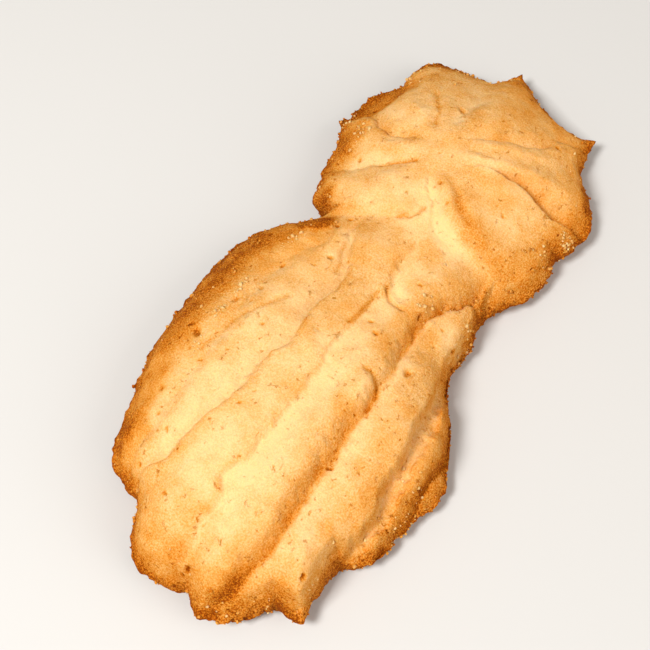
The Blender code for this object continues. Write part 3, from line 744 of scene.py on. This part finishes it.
def grains(centres, radii, seed):
    """Lumps at the centres: points on rings of a sphere, each pushed in or out at random, with
    a pole above and below."""
    random = np.random.default_rng(seed)
    count = len(centres)
    polar = np.pi * np.arange(1, CRUMB_RINGS + 1) / (CRUMB_RINGS + 1)
    around = 2.0 * np.pi * np.arange(CRUMB_SIDES) / CRUMB_SIDES
    polar, around = (part.ravel() for part in np.meshgrid(polar, around, indexing="ij"))
    sphere = np.stack([np.sin(polar) * np.cos(around), np.sin(polar) * np.sin(around), np.cos(polar)], axis=1)
    sphere = np.concatenate([sphere, [(0.0, 0.0, 1.0), (0.0, 0.0, -1.0)]])
    turn, _ = np.linalg.qr(random.normal(size=(count, 3, 3)))
    stretch = random.uniform(0.65, 1.3, (count, 1, 3))
    lumps = sphere * random.uniform(0.72, 1.2, (count, len(sphere), 1)) * stretch
    return centres[:, None] + radii[:, None, None] * np.einsum("nij,nkj->nki", turn, lumps)


def grain_faces(count):
    """The faces of every lump: squares between its rings and triangles to its poles."""
    ring = np.arange(CRUMB_SIDES)
    beside = (ring + 1) % CRUMB_SIDES
    last = (CRUMB_RINGS - 1) * CRUMB_SIDES
    top, bottom = CRUMB_RINGS * CRUMB_SIDES, CRUMB_RINGS * CRUMB_SIDES + 1
    one = [(top, a, b) for a, b in zip(ring, beside)] + [(bottom, last + b, last + a) for a, b in zip(ring, beside)]
    for start in range(0, last, CRUMB_SIDES):
        below = start + CRUMB_SIDES
        one += [(start + a, below + a, below + b, start + b) for a, b in zip(ring, beside)]
    return [tuple(int(corner) + shift for corner in face) for shift in range(0, count * (bottom + 1), bottom + 1) for face in one]


random = np.random.default_rng(71)
weight = ((0.25 * roughness**3 + np.exp(-inset / 0.9)) * on_crust * (inset < 8.9)).ravel()
weight[: rows.shape[1] * 8] = 0.0
chosen = [random.choice(weight.size, CRUMBS, replace=False, p=weight / weight.sum())]
radii = [CRUMB_SIZES[0] + (CRUMB_SIZES[1] - CRUMB_SIZES[0]) * random.random(CRUMBS) ** 2.5]
crumb_bake = [np.clip(bake.ravel()[chosen[0]] - random.uniform(-0.1, 0.45, CRUMBS), 0.0, 0.9)]
for patch_x, patch_y, patch_radius, count in CRUMB_PATCHES:
    away = np.hypot(crust_x - patch_x, crust_y - patch_y) / patch_radius
    nearness = np.exp(-(away**2)) * (weight > 0)
    chosen.append(random.choice(weight.size, count, replace=False, p=nearness / nearness.sum()))
    radii.append(PATCH_SIZES[0] + (PATCH_SIZES[1] - PATCH_SIZES[0]) * random.random(count) ** 2)
    crumb_bake.append(bake.ravel()[chosen[-1]] * random.uniform(0.1, 0.8, count))
chosen, radii, crumb_bake = (np.concatenate(parts) for parts in (chosen, radii, crumb_bake))
places = rows.reshape(-1, 3)[chosen] + square.reshape(-1, 3)[chosen] * (radii * 0.35)[:, None]
lumps = grains(places, radii, 72)
lumps[..., 2] += np.maximum(low[2] - lumps[..., 2].min(axis=1), 0.0)[:, None]
points_each = lumps.shape[1]
mesh = bpy.data.meshes.new("loose_crumbs")
mesh.from_pydata((lumps.reshape(-1, 3) * MM).tolist(), [], grain_faces(len(lumps)))
store(mesh, "bake", np.repeat(crumb_bake, points_each))
store(mesh, "pore", np.zeros(len(lumps) * points_each))
store(mesh, "roughness", np.full(len(lumps) * points_each, 0.5))
mesh.materials.append(shortbread)
mesh.shade_smooth()
crumbs_piece = bpy.data.objects.new("loose_crumbs", mesh)
bpy.context.collection.objects.link(crumbs_piece)
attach(crumbs_piece, "root")


# ---------------------------------------------------------------------------------------------
# The studio: a plain pale table top and soft light. The large lamp stands high at the left of
# the camera, a weaker one fills the shadows from the right.

TABLE_SIZE = 1.6
VIEW_AZIMUTH, VIEW_ELEVATION = 27.0, 62.0
VIEW_DISTANCE = 182.0
VIEW_AIM = (1.25, -6.1, 4.55)
VIEW_OFFSET = (-3.72, 2.62)  # the aim lies this far right of and above the middle of the view
LENS = 73.1
SENSOR = 36.0

a, e = np.radians([VIEW_AZIMUTH, VIEW_ELEVATION])
backwards = np.array([np.sin(a) * np.cos(e), -np.cos(a) * np.cos(e), np.sin(e)])
rightwards = np.array([np.cos(a), np.sin(a), 0.0])
upwards = np.cross(backwards, rightwards)


def table_top():
    """A matt pale grey board."""
    material = bpy.data.materials.new("matt_pale_board")
    material.use_nodes = True
    surface = material.node_tree.nodes["Principled BSDF"]
    surface.inputs["Base Color"].default_value = linear("#CACBCD")
    surface.inputs["Roughness"].default_value = 0.7
    half = TABLE_SIZE / 2
    mesh = bpy.data.meshes.new("table_top")
    mesh.from_pydata([(-half, -half, 0), (half, -half, 0), (half, half, 0), (-half, half, 0)], [], [(0, 1, 2, 3)])
    mesh.materials.append(material)
    board = bpy.data.objects.new("table_top", mesh)
    bpy.context.collection.objects.link(board)


def lamp(name, direction, distance, size, watts, colour="#FFFFFF"):
    """A square soft lamp that faces the biscuit from a direction given as the shares of
    right, up and towards the camera."""
    data = bpy.data.lights.new(name, "AREA")
    data.size = size
    data.energy = watts
    data.color = linear(colour)[:3]
    towards = direction[0] * rightwards + direction[1] * upwards + direction[2] * backwards
    towards /= np.linalg.norm(towards)
    light = bpy.data.objects.new(name, data)
    light.location = Vector(towards * distance)
    light.rotation_euler = Vector(towards).to_track_quat("Z", "Y").to_euler()
    bpy.context.collection.objects.link(light)


table_top()
lamp("key_lamp", (-0.5, 0.1, 1.0), 0.6, 0.16, 3.9, "#FFFCF5")
lamp("fill_lamp", (0.9, -0.1, 0.8), 0.8, 0.6, 3.0, "#FFF6EC")

world = bpy.data.worlds.new("studio")
world.use_nodes = True
world.node_tree.nodes["Background"].inputs["Color"].default_value = linear("#FFF5E8")
world.node_tree.nodes["Background"].inputs["Strength"].default_value = 0.4
bpy.context.scene.world = world
bpy.context.scene.view_settings.view_transform = "Standard"

camera_data = bpy.data.cameras.new("camera")
camera_data.lens = LENS
camera_data.sensor_width = SENSOR
camera_data.clip_start = 0.001
camera = bpy.data.objects.new("camera", camera_data)
eye = np.array(VIEW_AIM) + VIEW_DISTANCE * backwards + VIEW_OFFSET[0] * rightwards + VIEW_OFFSET[1] * upwards
turned = Matrix([rightwards, upwards, backwards]).transposed().to_4x4()
camera.matrix_world = Matrix.Translation(Vector(eye * MM)) @ turned
bpy.context.collection.objects.link(camera)
bpy.context.scene.camera = camera
